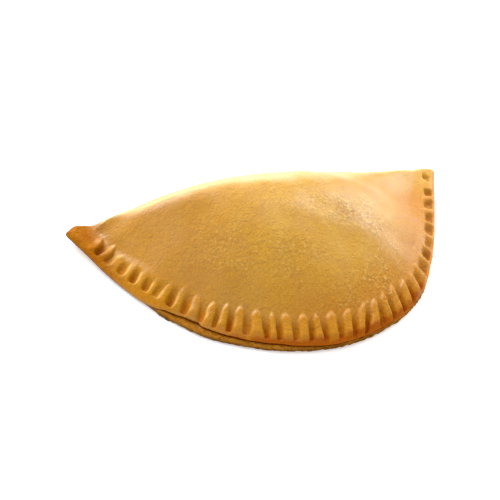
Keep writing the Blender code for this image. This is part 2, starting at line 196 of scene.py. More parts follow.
RIDGE_PUFF = 1.15 * MM
RIDGE_FADE = 2.6 * MM
RIDGE_BEFORE = 0.5 * MM
RIDGE_BEYOND = 1.4 * MM  # how far the puffed dough runs past the marks' ends
RIDGE_TAPER = 2.6 * MM
# By degrees from the front: the inset at which a mark begins, is fully deep, and ends, in millimetres; the
# share of it over which it fades out; the strength of the marks and of the puffed dough between them; a
# mark's half-width in pitches; its lean in pitches per millimetre; and where between two marks the dough is
# highest
MARK_RUN = (
    # degrees, begin, full, end, fade, pressed, puffed, half-width, lean, crest
    (-86, 1.4, 3.4, 9.6, 0.5, 1.0, 1.0, 0.18, -0.070, 0.5),
    (-79, 1.6, 3.4, 9.4, 0.5, 1.0, 0.9, 0.18, -0.070, 0.5),
    (-74, 1.6, 3.0, 8.0, 0.6, 1.15, 0.15, 0.24, -0.050, 0.5),
    (-60, 1.5, 3.0, 8.2, 0.6, 1.15, 0.15, 0.25, -0.025, 0.5),
    (-46, 1.5, 3.0, 8.8, 0.6, 1.05, 0.4, 0.23, -0.010, 0.5),
    (-38, 1.4, 3.0, 9.4, 0.6, 0.9, 1.0, 0.20, 0.0, 0.5),
    (-10, 1.0, 2.8, 9.4, 0.6, 1.0, 1.1, 0.20, 0.0, 0.5),
    (3, 0.4, 2.0, 9.2, 0.6, 1.0, 1.1, 0.20, 0.030, 0.58),
    (12, -0.3, 1.2, 8.8, 0.55, 1.1, 1.1, 0.20, 0.080, 0.66),
    (34, -0.4, 1.2, 8.0, 0.5, 1.1, 1.1, 0.21, 0.085, 0.7),
    (42, 0.2, 1.6, 6.8, 0.45, 1.1, 0.7, 0.25, 0.060, 0.68),
    (50, 0.8, 2.0, 5.8, 0.5, 1.0, 0.3, 0.30, 0.015, 0.6),
    (80, 0.9, 2.0, 5.2, 0.5, 0.95, 0.15, 0.30, 0.0, 0.5),
    (84, 2.4, 3.4, 6.4, 0.4, 1.0, 0.1, 0.14, 0.12, 0.5),
)

# Where the baked colours, the painted light and shade, and the crazed wash lie
RIM_BROWNED = angles(-50, -22, 30, 50)
RIM_BROWNED_INSET = (0.6 * MM, 3.8 * MM)
RIM_BROWNED_ELSEWHERE = 0.3
TIP_BROWNED = (8 * MM, 16 * MM)
FOOT_BAKED = angles(-45, 5)
FOOT_BAKED_INSET = (9 * MM, 27 * MM)
FOOT_BAKED_HEIGHT = (0.0, 4 * MM)
FOOT_BAKED_BACK = (-14 * MM, -4 * MM)
# Painted shade: the pie is darker towards the left, over this reach of -x
LEFT_SHADE_REACH = (12 * MM, 48 * MM)
LEFT_MATT = angles(-56, -40)
LEFT_MATT_INSET = (5 * MM, 13 * MM)
LEFT_MARKS_KEPT = 0.6  # how brown the marks are there, as a share
PALE_SCOOPS = angles(38, 50)
PALE_SCOOPS_KEPT = 0.45
# Heights over which the painted contact shadow along the bottom of the edge fades out
PAINTED_SHADOW_HEIGHTS = (0.2 * MM, 2.5 * MM)
UNDERSIDE_TURNS = (0.0, 0.8 * MM)
# How far a face looks back, as the y of its normal, where painted shade darkens the fold's back-lit wall
BACK_WALL_SHADE_FACING = (0.72, 0.96)
# The painted highlight along the fold, where faces look back towards the back light: the middle and the
# width of the same measure, the heights over which it begins, and the x over which it ends
PAINTED_CREST_HIGHLIGHT = 0.36
PAINTED_CREST_HIGHLIGHT_WIDTH = 0.22
PAINTED_CREST_HIGHLIGHT_HEIGHT = (0.0, 5 * MM)
PAINTED_CREST_HIGHLIGHT_ENDS = (-16 * MM, 12 * MM)
# Spots where the egg wash crazed: place in the fold's frame and radii, in millimetres, and strength
CRAZED_SPOTS = (
    (20, -23, 13, 6, 1.0),
    (33, -33, 7, 9, 0.9),
    (27, -50, 9, 8, 0.7),
    (-8, -40, 16, 10, 0.45),
    (-2, -17, 10, 5, 0.4),
    (-30, -30, 9, 9, 0.35),
    (10, -56, 12, 5, 0.5),
)

# The grid
RIM_COLUMNS = 769
FOLD_COLUMNS = 200
FOLD_SPACING_AT_TIPS = 0.4
OUTLINE_STEPS = 4096
BASE_SHARES = (0.3, 0.55, 0.75, 0.88, 0.96)
BASE_MIDDLE_Y = -30 * MM
BASE_LIFT = ((0.25, 22, 8),)
BASE_LIFT_MOST = 0.25 * MM
BASE_LIFT_WITHIN = 0.9
EVEN_TURN = 0.0005  # share of an even turn, which keeps the base's bearings apart
SKIRT_RINGS = 26
STRAIGHT_RINGS = 36
SLOPE_RINGS = 20
CROWN_RINGS = 13
STRAIGHT_RUN = 11.8 * MM
FOLD_RUN = 0.62
FOLD_RUN_REACH = 28 * MM
RINGS_CLOSER_AT_RIM = 1.25
RINGS_CLOSER_AT_FOLD = 1.6
INNER_HALF_WIDTH = 32 * MM
INNER_BACK_Y = -11.5 * MM
INNER_DEPTH = 20 * MM
CROWN_Y = -20 * MM

# Camera: turned about the point that it looks at, which is given in the fold's frame
AIM = (-17.1 * MM, -27.6 * MM, 12.0 * MM)
CAMERA_AZIMUTH = math.radians(-37.2)
CAMERA_ELEVATION = math.radians(47.15)
CAMERA_ROLL = math.radians(18.69)
CAMERA_DISTANCE = 638.7 * MM
LENS = 128.2

# Floor and lights
FLOOR_HALF_SIDE = 6.0
FLOOR_WHITE = 0.93
FLOOR_ROUGHNESS = 0.6
FLOOR_GLOW = 0.3
WORLD_LIGHT = 0.75
LAMPS = (
    # name, azimuth and elevation in degrees, distance, width and height in metres, radiance
    ("back_light", 182, 21, 1.5, 3.4, 1.1, 3.9),
    ("right_light", 108, 16, 1.0, 0.50, 0.40, 3.4),
    ("top_light", 150, 62, 1.5, 1.4, 1.0, 1.3),
    ("left_light", -146, 48, 1.5, 1.3, 0.3, 9.5),
    ("flank_light", 110, 35, 1.0, 0.26, 0.28, 5.5),
)


def share(value, low, high):
    """Where value lies between low and high, from 0 to 1, eased at both ends: 3t^2 - 2t^3."""
    t = np.clip((value - low) / (high - low), 0.0, 1.0)
    return t * t * (3.0 - 2.0 * t)


def window(value, rise_from, rise_to, fall_from, fall_to):
    """1 within the window and 0 outside it, with eased ends."""
    return share(value, rise_from, rise_to) * (1.0 - share(value, fall_from, fall_to))


def mix(a, b, weight):
    return a + (b - a) * weight


def soft_rise(value, softness):
    """value well above 0 and 0 well below, with a rounded corner: the logarithm of 1 + e^value."""
    return softness * np.logaddexp(0.0, value / softness)


RIPPLE_WAVES = 14
RIPPLE_LENGTHS = (0.7, 1.4)  # of the sine waves, as shares of the ripple's size


def ripple(x, y, size, seed):
    """A smooth random field of about unit strength: a sum of sine waves, about size long, of all bearings."""
    draw = np.random.default_rng(seed)
    total = np.zeros(np.broadcast(x, y).shape)
    for _ in range(RIPPLE_WAVES):
        way = draw.uniform(0.0, TURN)
        length = size * draw.uniform(*RIPPLE_LENGTHS)
        total += np.sin(TURN * (x * math.cos(way) + y * math.sin(way)) / length + draw.uniform(0.0, TURN))
    return total * math.sqrt(2.0 / RIPPLE_WAVES)


def ripples(x, y, rows):
    """The sum of ripples that are given by strength, size in millimetres and seed."""
    return sum(strength * ripple(x, y, size * MM, seed) for strength, size, seed in rows)


def rim_radius(angle):
    """Distance from the fold's middle to the rim, by angle from the front.

    It is a circle with three slow waves, wider to the right, plus small strays. Near each tip it is the
    straight line from the tip that touches the circle: the radius over the cosine of the angle past the
    touching point.
    """
    waves = sum(wave * np.sin((i + 1) * angle) for i, wave in enumerate(RIM_WAVES))
    waves = waves + RIM_WIDER_RIGHT * share(angle, *RIM_WIDER_AT)
    drawn = np.where(angle < 0, TIP_DRAWN_LEFT, TIP_DRAWN_RIGHT)
    touch = np.arccos(1.0 / (1.0 + drawn))
    from_tip = QUARTER - np.abs(angle)
    strays = np.interp(np.degrees(angle), *np.array(RIM_STRAYS).T) * MM
    return RIM_RADIUS * (1.0 + waves) / np.cos(np.maximum(0.0, touch - from_tip)) + strays


RIGHT_TIP = float(rim_radius(QUARTER))
LEFT_TIP = float(rim_radius(-QUARTER))


def tip_gap(x):
    """Distance along X from the nearer tip."""
    return np.where(x < 0, LEFT_TIP + x, RIGHT_TIP - x)


def rim_inset(x, y):
    """(inset from the rim, angle, radius of the rim) of plan points. Behind y = 0 they go by x alone."""
    forward = np.maximum(0.0, -y)
    angle = np.arctan2(x, forward + 1e-9)
    radius = rim_radius(angle)
    return radius - np.hypot(x, forward), angle, radius


def seal_width(angle):
    """Width of the sealed rim: greater on the right flank, and greatest at the left tip."""
    right = SEAL_WIDER_RIGHT * share(angle, *SEAL_WIDER_RIGHT_AT)
    return SEAL_WIDTH + right + SEAL_WIDER_LEFT_TIP * share(-angle, *SEAL_WIDER_LEFT_AT)


def crust_height(x, y):
    """Height of the top before the fold rounds it off.

    It is a sloping seal, which the tips flatten, plus a dome that climbs as 1 - (1 - t)^n, where t runs from
    the seal to the fold's middle.
    """
    inset, angle, radius = rim_inset(x, y)
    flat = np.where(angle < 0, share(-angle, *LEFT_TIP_FLAT), share(angle, *RIGHT_TIP_FLAT))
    slope = RIM_SLOPE * (1.0 - flat)
    thickness = RIM_THICKNESS - LEFT_TIP_THINNER * share(-angle, *LEFT_TIP_THINNER_AT)
    width = seal_width(angle)
    at_left_tip = share(-angle, *LEFT_TIP_AT)
    foot_round = mix(DOME_FOOT, DOME_FOOT_AT_LEFT_TIP, at_left_tip)
    seal = thickness + slope * (width - soft_rise(width - inset, foot_round))
    climb = np.clip(soft_rise(inset - width, foot_round) / (radius - width), 0.0, 1.0)
    fuller = 1.0 - DOME_FULLER_LEFT * np.sin(angle) + DOME_FULLER_FRONT * np.cos(2 * angle)
    on_right_flank = window(angle, *RIGHT_FLANK_AT)
    fuller = fuller + DOME_STEEPER_LEFT_TIP * at_left_tip + DOME_STEEPER_RIGHT * on_right_flank
    crown = DOME_HEIGHT * (1.0 + DOME_LEAN * x / RIM_RADIUS)
    foot = thickness + slope * width
    return seal + (crown - foot) * (1.0 - (1.0 - climb) ** (DOME_FULLNESS * fuller))


def fold_line(x):
    """Plan Y of the fold's backmost line: a shallow parabola, with the flat corners standing back of it."""
    tip = np.where(x < 0, LEFT_TIP, RIGHT_TIP)
    gap = tip_gap(x)
    left = CORNER_BACK_LEFT * (1.0 - share(gap, *CORNER_REACH_LEFT)) * share(gap, 0.0, CORNER_ROUND_LEFT)
    kept = mix(CORNER_KEPT_RIGHT, 1.0, share(gap, 0.0, CORNER_ROUND_RIGHT))
    right = CORNER_BACK_RIGHT * (1.0 - share(gap, *CORNER_REACH_RIGHT)) * kept
    return FOLD_BULGE * np.maximum(0.0, 1.0 - (x / tip) ** 2) + left * (x < 0) + right * (x > 0)


def tip_lift(x):
    """How far the left tip curls up off the tray, eased over its last stretch."""
    return TIP_LIFT_LEFT * (1.0 - share(tip_gap(x), *TIP_LIFT_REACH)) * (x < 0)


def fold_rounding(x):
    """(plan depth of the fold's rounding, height of its backmost line); at the tips they are the rim's."""
    height = crust_height(x, np.zeros_like(x))
    at_tip = 1.0 - share(tip_gap(x), 0.0, TIP_BLEND)
    rounding = FOLD_ROUND * height * (1.0 + FOLD_ROUNDER_RIGHT * x / RIM_RADIUS)
    return mix(rounding, FOLD_EDGE_ROUND, at_tip), mix(FOLD_MID * height, FOLD_EDGE_HEIGHT, at_tip)


def mark_place(angle):
    """Place along the row of fork marks, whole at the grooves: the root of first + pitch*p + growth*p^2."""
    growth = (LAST_PITCH - FIRST_PITCH) / (MARKS - 1) / 2
    return (np.sqrt(FIRST_PITCH**2 + 4 * growth * (angle - FIRST_MARK)) - FIRST_PITCH) / (2 * growth)


def mark_angle(place):
    """The angle at a place along the row: the inverse of mark_place."""
    growth = (LAST_PITCH - FIRST_PITCH) / (MARKS - 1) / 2
    return FIRST_MARK + FIRST_PITCH * place + growth * place**2


def uneven_marks():
    """(places, then each mark's depth, width, length and lean) with the small differences between marks."""
    draw = np.random.default_rng(MARK_SEED)
    whole = np.arange(-MARKS_BEYOND, MARKS + MARKS_BEYOND)
    depths = np.clip(1.0 + draw.normal(0.0, MARK_SPREAD, len(whole)), *MARK_DEPTH_LIMITS)
    widths = np.clip(1.0 + draw.normal(0.0, MARK_SPREAD, len(whole)), *MARK_WIDTH_LIMITS)
    lengths = draw.normal(0.0, MARK_LENGTH_SPREAD, len(whole))
    leans = draw.normal(0.0, MARK_LEAN_SPREAD / MM, len(whole))
    for weak, kept in WEAK_MARKS.items():
        depths[weak + MARKS_BEYOND] = kept
    return whole, depths, widths, lengths, leans


def fork_marks(inset, angle):
    """(how deep the fork pressed as a share, how far the dough between its tines is puffed as a share).

    The place along the row is bent so that each mark lies on a whole number, and again so that the dough
    between marks is highest off the middle. Across, a mark is e^-(|t|/width)^3, and the dough between is half
    an ellipse. Along, both have eased ends, and the puffed dough ends in a round tip.
    """
    whole, *uneven = uneven_marks()
    place = np.interp(mark_place(angle), whole + np.pad(MARK_STRAYS, MARKS_BEYOND, "edge"), whole)
    depth, width, longer, lean = (np.interp(place, whole, values) for values in uneven)
    turn, *runs = np.array(MARK_RUN).T
    runs = (np.interp(np.degrees(angle), turn, run) for run in runs)
    begin, full, end, fade, pressed, puffed, half_width, slant, crest = runs
    begin, full, end = begin * MM, full * MM, end * MM + longer
    place = place - (lean + slant / MM) * (inset - MARK_LEANS_ABOUT)
    part = place - np.floor(place)
    part = np.where(part < crest, 0.5 * part / crest, 1.0 - 0.5 * (1.0 - part) / (1.0 - crest))
    across = part - np.rint(part)
    groove = np.exp(-(np.abs(across / (width * half_width)) ** MARK_EDGE_POWER))
    along = share(inset, begin, full) * (1.0 - share(inset, end - fade * (end - begin), end))
    in_row = window(place, *ROW_BEGINS, *ROW_ENDS)
    from_ridge = np.minimum(1.0, (0.5 - np.abs(across)) / RIDGE_HALF_WIDTH)
    puff = np.sqrt(1.0 - from_ridge**2)
    tip = end + RIDGE_BEYOND - RIDGE_TAPER * from_ridge**2
    rise = share(inset, begin - RIDGE_BEFORE, full) * (1.0 - share(inset, tip - RIDGE_FADE, tip))
    return pressed * depth * groove * along * in_row, puffed * puff * rise * in_row


def rounded_outline(points):
    """(points, inward normals, lengths along) of a closed outline, blurred to round its corners.

    The blur along its length is a Gaussian, made by a Fourier transform of x + iy. The normal is the
    derivative times i.
    """
    closed = np.vstack([points, points[:1]])
    length = np.concatenate([[0.0], np.cumsum(np.hypot(*np.diff(closed, axis=0).T))])
    even = np.linspace(0.0, length[-1], OUTLINE_STEPS, endpoint=False)
    curve = np.interp(even, length, closed[:, 0]) + 1j * np.interp(even, length, closed[:, 1])
    waves = TURN * np.fft.fftfreq(len(even), length[-1] / len(even))
    blurred = np.fft.fft(curve) * np.exp(-0.5 * (waves * TIP_ROUNDING) ** 2)
    smooth = np.fft.ifft(blurred)
    inward = 1j * np.fft.ifft(1j * waves * blurred)
    smooth, inward = np.append(smooth, smooth[0]), np.append(inward, inward[0])
    even = np.append(even, length[-1])
    at = np.interp(length[:-1], even, smooth.real) + 1j * np.interp(length[:-1], even, smooth.imag)
    normal = np.interp(length[:-1], even, inward.real) + 1j * np.interp(length[:-1], even, inward.imag)
    normal /= np.abs(normal)
    return np.stack([at.real, at.imag], -1), np.stack([normal.real, normal.imag], -1), length[:-1]


def unit(vectors):
    return vectors / np.linalg.norm(vectors, axis=-1, keepdims=True)


def columns():
    """What each column is, by name: its outline point and normal, its inner-loop point, and how it sets out.

    The outline goes round the rim by even steps along the row of fork marks, and back along the fold, closer
    together at the tips. The inner loop is half an ellipse and a straight line, high on the dome.
    """
    angle = mark_angle(np.linspace(mark_place(-QUARTER), mark_place(QUARTER), RIM_COLUMNS))
    radius = rim_radius(angle)
    rim = np.stack([radius * np.sin(angle), -radius * np.cos(angle)], -1)
    rim_inner = np.stack([INNER_HALF_WIDTH * np.sin(angle), INNER_BACK_Y - INNER_DEPTH * np.cos(angle)], -1)
    turn = TURN * np.arange(1, FOLD_COLUMNS) / FOLD_COLUMNS
    along = (turn - (1.0 - FOLD_SPACING_AT_TIPS) * np.sin(turn)) / TURN
    fold_x = mix(RIGHT_TIP, -LEFT_TIP, along)
    fold = np.stack([fold_x, fold_line(fold_x)], -1)
    inner_x = mix(INNER_HALF_WIDTH, -INNER_HALF_WIDTH, along)
    fold_inner = np.stack([inner_x, np.full_like(along, INNER_BACK_Y)], -1)
    start, normal, length = rounded_outline(np.vstack([rim, fold]))
    inner = np.vstack([rim_inner, fold_inner])
    to_inner = unit(inner - start)
    radial = np.stack([-np.sin(angle), np.cos(angle)], -1)
    to_tip = share(np.abs(angle), abs(FIRST_MARK), QUARTER)[:, None]
    inward = np.vstack([unit(mix(radial, to_inner[:RIM_COLUMNS], to_tip)), to_inner[RIM_COLUMNS:]])
    on_fold = np.concatenate([np.zeros(RIM_COLUMNS), share(tip_gap(fold_x), 0.0, TIP_BLEND)])
    far_on_fold = np.concatenate([np.zeros(RIM_COLUMNS), share(tip_gap(fold_x), 0.0, FOLD_RUN_REACH)])
    run = mix(STRAIGHT_RUN, FOLD_RUN * np.linalg.norm(inner - start, axis=1), far_on_fold)
    return {
        "start": start,
        "normal": normal,
        "inner": inner,
        "inward": inward,
        "on_fold": on_fold,
        "run": run,
        "easing": mix(RINGS_CLOSER_AT_RIM, RINGS_CLOSER_AT_FOLD, far_on_fold),
        "length": length,
        "angle": np.concatenate([angle, np.where(fold_x < 0, -QUARTER, QUARTER)]),
    }


def edge_layers(col):
    """(share to which the two layers show, ledge, seam's height) of each column."""
    degrees = np.degrees(col["angle"])
    show = window(col["angle"], *LAYERS_SHOW) * (1.0 - col["on_fold"])
    at, out = np.array(LEDGE).T
    ledge = np.interp(degrees, at, out) * MM
    ledge = ledge * (1.0 + ripples(col["length"], 0.0, LEDGE_WAVER)) * show
    lower = SEAM_LOWER_RIGHT * share(col["angle"], *SEAM_LOWER_AT)
    return show, ledge, SEAM_HEIGHT - lower + ripples(col["length"], 0.0, SEAM_WANDER) * MM


def skirt(col):
    """(rings, how much they lie on the lower layer's cut side, and in the seam), from base to top.

    Where the layers show, the rings follow their section. Elsewhere the edge is a quarter ellipse, small
    where the layers are pinched together and large on the fold.
    """
    show, ledge, seam = edge_layers(col)
    steps = np.linspace(0.0, 1.0, SKIRT_RINGS, endpoint=False)[:, None]
    knots = np.linspace(0.0, 1.0, len(LAYERED_EDGE))
    section = (np.interp(steps, knots, row) for row in np.array(LAYERED_EDGE).T)
    inset, of_ledge, height, of_seam, dark = section
    layered_in = inset * MM + of_ledge * ledge
    layered_up = height * MM + of_seam * seam
    start_x = col["start"][:, 0]
    _, edge_mid = fold_rounding(start_x)
    under = mix(RIM_UNDER, FOLD_UNDER * crust_height(start_x, np.zeros_like(start_x)), col["on_fold"])
    bend = QUARTER * (1.0 - steps)
    plain_in = under * (1.0 - np.cos(bend))
    plain_up = mix(MERGED_EDGE_HEIGHT, edge_mid, col["on_fold"]) * (1.0 - np.sin(bend))
    plan = col["start"] + col["normal"] * mix(plain_in, layered_in, show)[..., None]
    cut = (1.0 - share(of_ledge, *CUT_SIDE_ENDS)) * show
    return np.dstack([plan, mix(plain_up, layered_up, show)]), cut, dark * show


def top_plan(col):
    """(plan points, run from the outline) of the rings: straight in, to the inner loop, to the crown."""
    _, ledge, _ = edge_layers(col)
    eased = (np.arange(STRAIGHT_RINGS + 1) / STRAIGHT_RINGS)[:, None] ** col["easing"]
    at = eased * (col["run"] - ledge)
    edge = col["start"] + col["normal"] * ledge[:, None]
    straight = edge + col["inward"] * at[..., None]
    slope_steps = (np.arange(1, SLOPE_RINGS + 1) / SLOPE_RINGS)[:, None, None]
    slope = mix(straight[-1], col["inner"], slope_steps)
    crown_steps = (np.arange(1, CROWN_RINGS) / CROWN_RINGS)[:, None, None]
    crown = mix(col["inner"], np.array([0.0, CROWN_Y]), crown_steps)
    plan = np.concatenate([straight, slope, crown])
    far = np.repeat(at[-1:], SLOPE_RINGS + CROWN_RINGS - 1, axis=0)
    return plan, np.concatenate([at, far])


def top(col):
    """(rings, shares to which they are pressed and puffed, their inset, their angle) of the top.

    Height is the crust's with slow swells on the dome, plus the puffed dough, less the fork marks and the
    flank's crease. At the fold it is rounded off by a curve close to a quarter ellipse, and at the rim's edge
    by a quarter ellipse.
    """
    plan, at = top_plan(col)
    x, y = plan[..., 0], plan[..., 1]
    inset, angle, _ = rim_inset(x, y)
    rounding, mid = fold_rounding(x)
    from_fold = np.clip((fold_line(x) - y) / rounding, 0.0, 1.0)
    height = mix(mid, crust_height(x, y), np.sqrt(1.0 - (1.0 - from_fold) ** FOLD_POWER))
    height += ripples(x, y, SWELLS) * MM * share(inset, *SWELLS_INSET)
    clear_of_fold = share(from_fold, *MARKS_CLEAR_OF_FOLD)
    pressed, puffed = (marks * clear_of_fold for marks in fork_marks(inset, angle))
    height += RIDGE_PUFF * puffed - MARK_DEPTH * pressed
    from_crease = (inset - CREASE_INSET) / CREASE_WIDTH
    height -= CREASE_DEPTH * window(angle, *CREASE_AT) * np.exp(-(from_crease**2))
    show, _, seam = edge_layers(col)
    _, fold_edge = fold_rounding(col["start"][:, 0])
    edge = mix(mix(MERGED_EDGE_HEIGHT, fold_edge, col["on_fold"]), seam + UPPER_EDGE_OVER_SEAM, show)
    reach = mix(MERGED_EDGE_ROUND, UPPER_EDGE_ROUND, show)
    round_off = np.sqrt(1.0 - (1.0 - np.clip(at / reach, 0.0, 1.0)) ** 2)
    height = mix(height, mix(edge, height, round_off), 1.0 - col["on_fold"])
    return np.dstack([plan, height]), pressed, puffed, inset, angle


def round_the_middle(edge):
    """The base's edge with its bearings about the base's middle made to run one way, so no facet folds over.

    Each bearing is halfway between the running maximum and the running minimum from the far end, mixed with
    a very small share of an even turn. Each point keeps its distance from the middle, and the turn starts in
    front.
    """
    front = RIM_COLUMNS // 2
    x, y = np.roll(edge[:, 0], -front), np.roll(edge[:, 1], -front) - BASE_MIDDLE_Y
    bearing = np.unwrap(np.arctan2(y, x))
    upper, lower = np.maximum.accumulate(bearing), np.minimum.accumulate(bearing[::-1])[::-1]
    even = bearing[0] + TURN * np.arange(len(bearing)) / len(bearing)
    bearing = mix((upper + lower) / 2, even, EVEN_TURN)
    distance = np.hypot(x, y)
    turned = np.stack([distance * np.cos(bearing), BASE_MIDDLE_Y + distance * np.sin(bearing)], -1)
    return np.roll(turned, front, axis=0)


def base(edge):
    """Rings of the underside, from near its middle to its edge, lifted in places where it baked clear."""
    middle = np.array([0.0, BASE_MIDDLE_Y])
    shares = np.array(BASE_SHARES)[:, None, None]
    plan = mix(middle, edge[:, :2], shares)
    lift = np.clip(MM * ripples(plan[..., 0], plan[..., 1], BASE_LIFT), 0.0, BASE_LIFT_MOST)
    return np.dstack([plan, lift * (shares[..., 0] < BASE_LIFT_WITHIN)])


def grid_normals(points):
    """Unit normals of a grid of rings and columns, from the cross product of its differences."""
    round_about = np.roll(points, -1, axis=1) - np.roll(points, 1, axis=1)
    up = np.gradient(points, axis=0)
    normal = np.cross(round_about, up)
    return normal / np.maximum(np.linalg.norm(normal, axis=2, keepdims=True), 1e-12)


def crumbled(points, length, cut_dough):
    """The grid with the crumb of its cut dough: three ripples, pushed out along the normals."""
    height = points[..., 2]
    relief = 0.0
    for strength, stretch, size, seed in CRUMB:
        relief = relief + strength * MM * ripple(length, stretch * height, size * MM, seed)
    relief = relief * cut_dough * share(height, *CRUMB_RISE)
    return points + grid_normals(points) * relief[..., None]


def all_rings(shapes, under=0.0, side=0.0, over=0.0):
    """One array for the whole grid, from values for the base's rings, the skirt's and the top's."""
    values = zip((under, side, over), shapes)
    return np.concatenate([np.broadcast_to(value, shape) for value, shape in values])


def layer_masks(shapes, side, cut, seam_line):
    """Where the lower layer is cut, the seam is dark, contact shadow is painted, and the underside shows."""
    return {
        "cut_dough": all_rings(shapes, side=cut),
        "seam_dark": all_rings(shapes, side=seam_line),
        "painted_contact_shadow": all_rings(shapes, side=1.0 - share(side[..., 2], *PAINTED_SHADOW_HEIGHTS)),
        "underside": all_rings(shapes, under=1.0, side=1.0 - share(side[..., 2], *UNDERSIDE_TURNS)),
    }


def seal_masks(shapes, col, pressed, puffed, inset, angle):
    """Where the fork marks and the ridges lie, the rim is browned and the left end of the seal is matt."""
    right_of_matt = share(angle, *LEFT_MATT)
    marks = pressed * mix(1.0, PALE_SCOOPS_KEPT, share(angle, *PALE_SCOOPS))
    in_front = window(col["angle"], *RIM_BROWNED) * (1.0 - col["on_fold"])
    rim = all_rings(shapes, side=1.0, over=1.0 - share(inset, *RIM_BROWNED_INSET))
    matt = (1.0 - share(inset, *LEFT_MATT_INSET)) * (1.0 - right_of_matt)
    return {
        "fork_mark": all_rings(shapes, over=marks * mix(LEFT_MARKS_KEPT, 1.0, right_of_matt)),
        "ridge": all_rings(shapes, over=puffed),
        "rim_bake": rim * mix(RIM_BROWNED_ELSEWHERE, 1.0, in_front),
        "matt_seal": all_rings(shapes, over=matt),
    }


def foot_bake(over, inset, angle):
    """Where the dome's foot is toasted: front and right, fading up the dome and towards the fold."""
    near_rim = (1.0 - share(inset, *FOOT_BAKED_INSET)) * share(angle, *FOOT_BAKED)
    off_tray = share(over[..., 2], *FOOT_BAKED_HEIGHT)
    return near_rim * off_tray * (1.0 - share(over[..., 1], *FOOT_BAKED_BACK))


def place_masks(points, underside):
    """Where shade is painted on the left and the fold's wall, a highlight on its crest, and the egg wash
    crazed.
    """
    x, y, height = np.moveaxis(points, 2, 0)
    faces_back = grid_normals(points)[..., 1]
    # The painted highlight lies where faces look back by this measure, above the tray
    crest = np.exp(-(((faces_back - PAINTED_CREST_HIGHLIGHT) / PAINTED_CREST_HIGHLIGHT_WIDTH) ** 2)) * share(height, *PAINTED_CREST_HIGHLIGHT_HEIGHT)
    spot_x, spot_y, radius_x, radius_y, strength = np.array(CRAZED_SPOTS).T[:, :, None, None]
    spots = strength * np.exp(-(((x / MM - spot_x) / radius_x) ** 2 + ((y / MM - spot_y) / radius_y) ** 2))
    return {
        # painted shade, darker towards the left
        "painted_left_shade": share(-x, *LEFT_SHADE_REACH),
        # painted shade on the fold's wall that faces the back light
        "painted_wall_shade": share(faces_back, *BACK_WALL_SHADE_FACING),
        # painted highlight along the fold's crest
        "painted_crest_highlight": crest * (1.0 - share(x, *PAINTED_CREST_HIGHLIGHT_ENDS)),
        "crazed": np.clip(spots.sum(axis=0), 0.0, 1.0) * (1.0 - underside),
    }


def crust_grid():
    """(points, masks by name) on the grid, rings by columns, in the fold's frame."""
    col = columns()
    side, cut, seam_line = skirt(col)
    over, pressed, puffed, inset, angle = top(col)
    side[0, :, :2] = round_the_middle(side[0, :, :2])
    under = base(side[0])
    shapes = [rings.shape[:2] for rings in (under, side, over)]
    points = np.concatenate([under, side, over])
    masks = layer_masks(shapes, side, cut, seam_line) | seal_masks(shapes, col, pressed, puffed, inset, angle)
    masks["foot_bake"] = all_rings(shapes, over=foot_bake(over, inset, angle))
    masks["tip_bake"] = 1.0 - share(LEFT_TIP + points[..., 0], *TIP_BROWNED)
    points = crumbled(points, col["length"], masks["cut_dough"])
    points[..., 2] = np.maximum(points[..., 2], 0.0) + tip_lift(points[..., 0])
    points[..., 1] += swept_back(points[..., 0])
    return points, masks | place_masks(points, masks["underside"])


def swept_back(x):
    """How far the right end of the pie is swept back: a parabola."""
    return FOLD_SWEEP * np.maximum(0.0, x / RIM_RADIUS) ** 2


def plan_shift():
    """The move from the fold's frame to the model's, which puts the middle of the outline's box at 0, 0."""
    x, y = columns()["start"].T
    y = y + swept_back(x)
    return np.array([-(x.min() + x.max()) / 2, -(y.min() + y.max()) / 2, 0.0])


def closed_skin(name, rings, masks):
    """A mesh from a grid of rings, closed by a fan to the mean of each end ring, with point attributes."""
    count_rings, count_columns = rings.shape[:2]
    index = np.arange(count_rings * count_columns).reshape(count_rings, count_columns)
    following = np.roll(index, -1, axis=1)
    quads = np.stack([index[:-1], following[:-1], following[1:], index[1:]], -1).reshape(-1, 4)
    low, high = index.size, index.size + 1
    below = np.stack([following[0], index[0], np.full(count_columns, low)], -1)
    above = np.stack([index[-1], following[-1], np.full(count_columns, high)], -1)
    triangles = np.concatenate([below, above])
    mesh = bpy.data.meshes.new(name)
    vertices = np.concatenate([rings.reshape(-1, 3), [rings[0].mean(axis=0), rings[-1].mean(axis=0)]])
    mesh.vertices.add(len(vertices))
    mesh.vertices.foreach_set("co", vertices.astype(np.float32).ravel())
    corners = np.concatenate([quads.ravel(), triangles.ravel()])
    mesh.loops.add(len(corners))
    mesh.loops.foreach_set("vertex_index", corners.astype(np.int32))
    sizes = np.concatenate([np.full(len(quads), 4), np.full(len(triangles), 3)])
    mesh.polygons.add(len(sizes))
    mesh.polygons.foreach_set("loop_start", (np.cumsum(sizes) - sizes).astype(np.int32))
    mesh.update(calc_edges=True)
    mesh.validate()
    mesh.shade_smooth()
    for mask, values in masks.items():
        layer = mesh.attributes.new(mask, "FLOAT", "POINT")
        ends = [values[0].mean(), values[-1].mean()]
        layer.data.foreach_set("value", np.concatenate([values.ravel(), ends]).astype(np.float32))
    return mesh


def add_object(name, mesh, material):
    mesh.materials.append(material)
    made = bpy.data.objects.new(name, mesh)
    bpy.context.scene.collection.objects.link(made)
    return made


# Finishes, with the painted light and shade in the pastry's colour


def new_material(name):
    """(material, its node tree, its Principled shader)."""
    material = bpy.data.materials.new(name)
    material.use_nodes = True
    return material, material.node_tree, material.node_tree.nodes["Principled BSDF"]


def put(tree, kind, inputs=None, **settings):
    """A new node with its settings and inputs; an input may be a value or another node's output."""
    made = tree.nodes.new(kind)
    for setting, value in settings.items():
        setattr(made, setting, value)
    for key, value in (inputs or {}).items():
        if isinstance(value, bpy.types.NodeSocket):
            tree.links.new(value, made.inputs[key])
        else:
            made.inputs[key].default_value = value
    return made


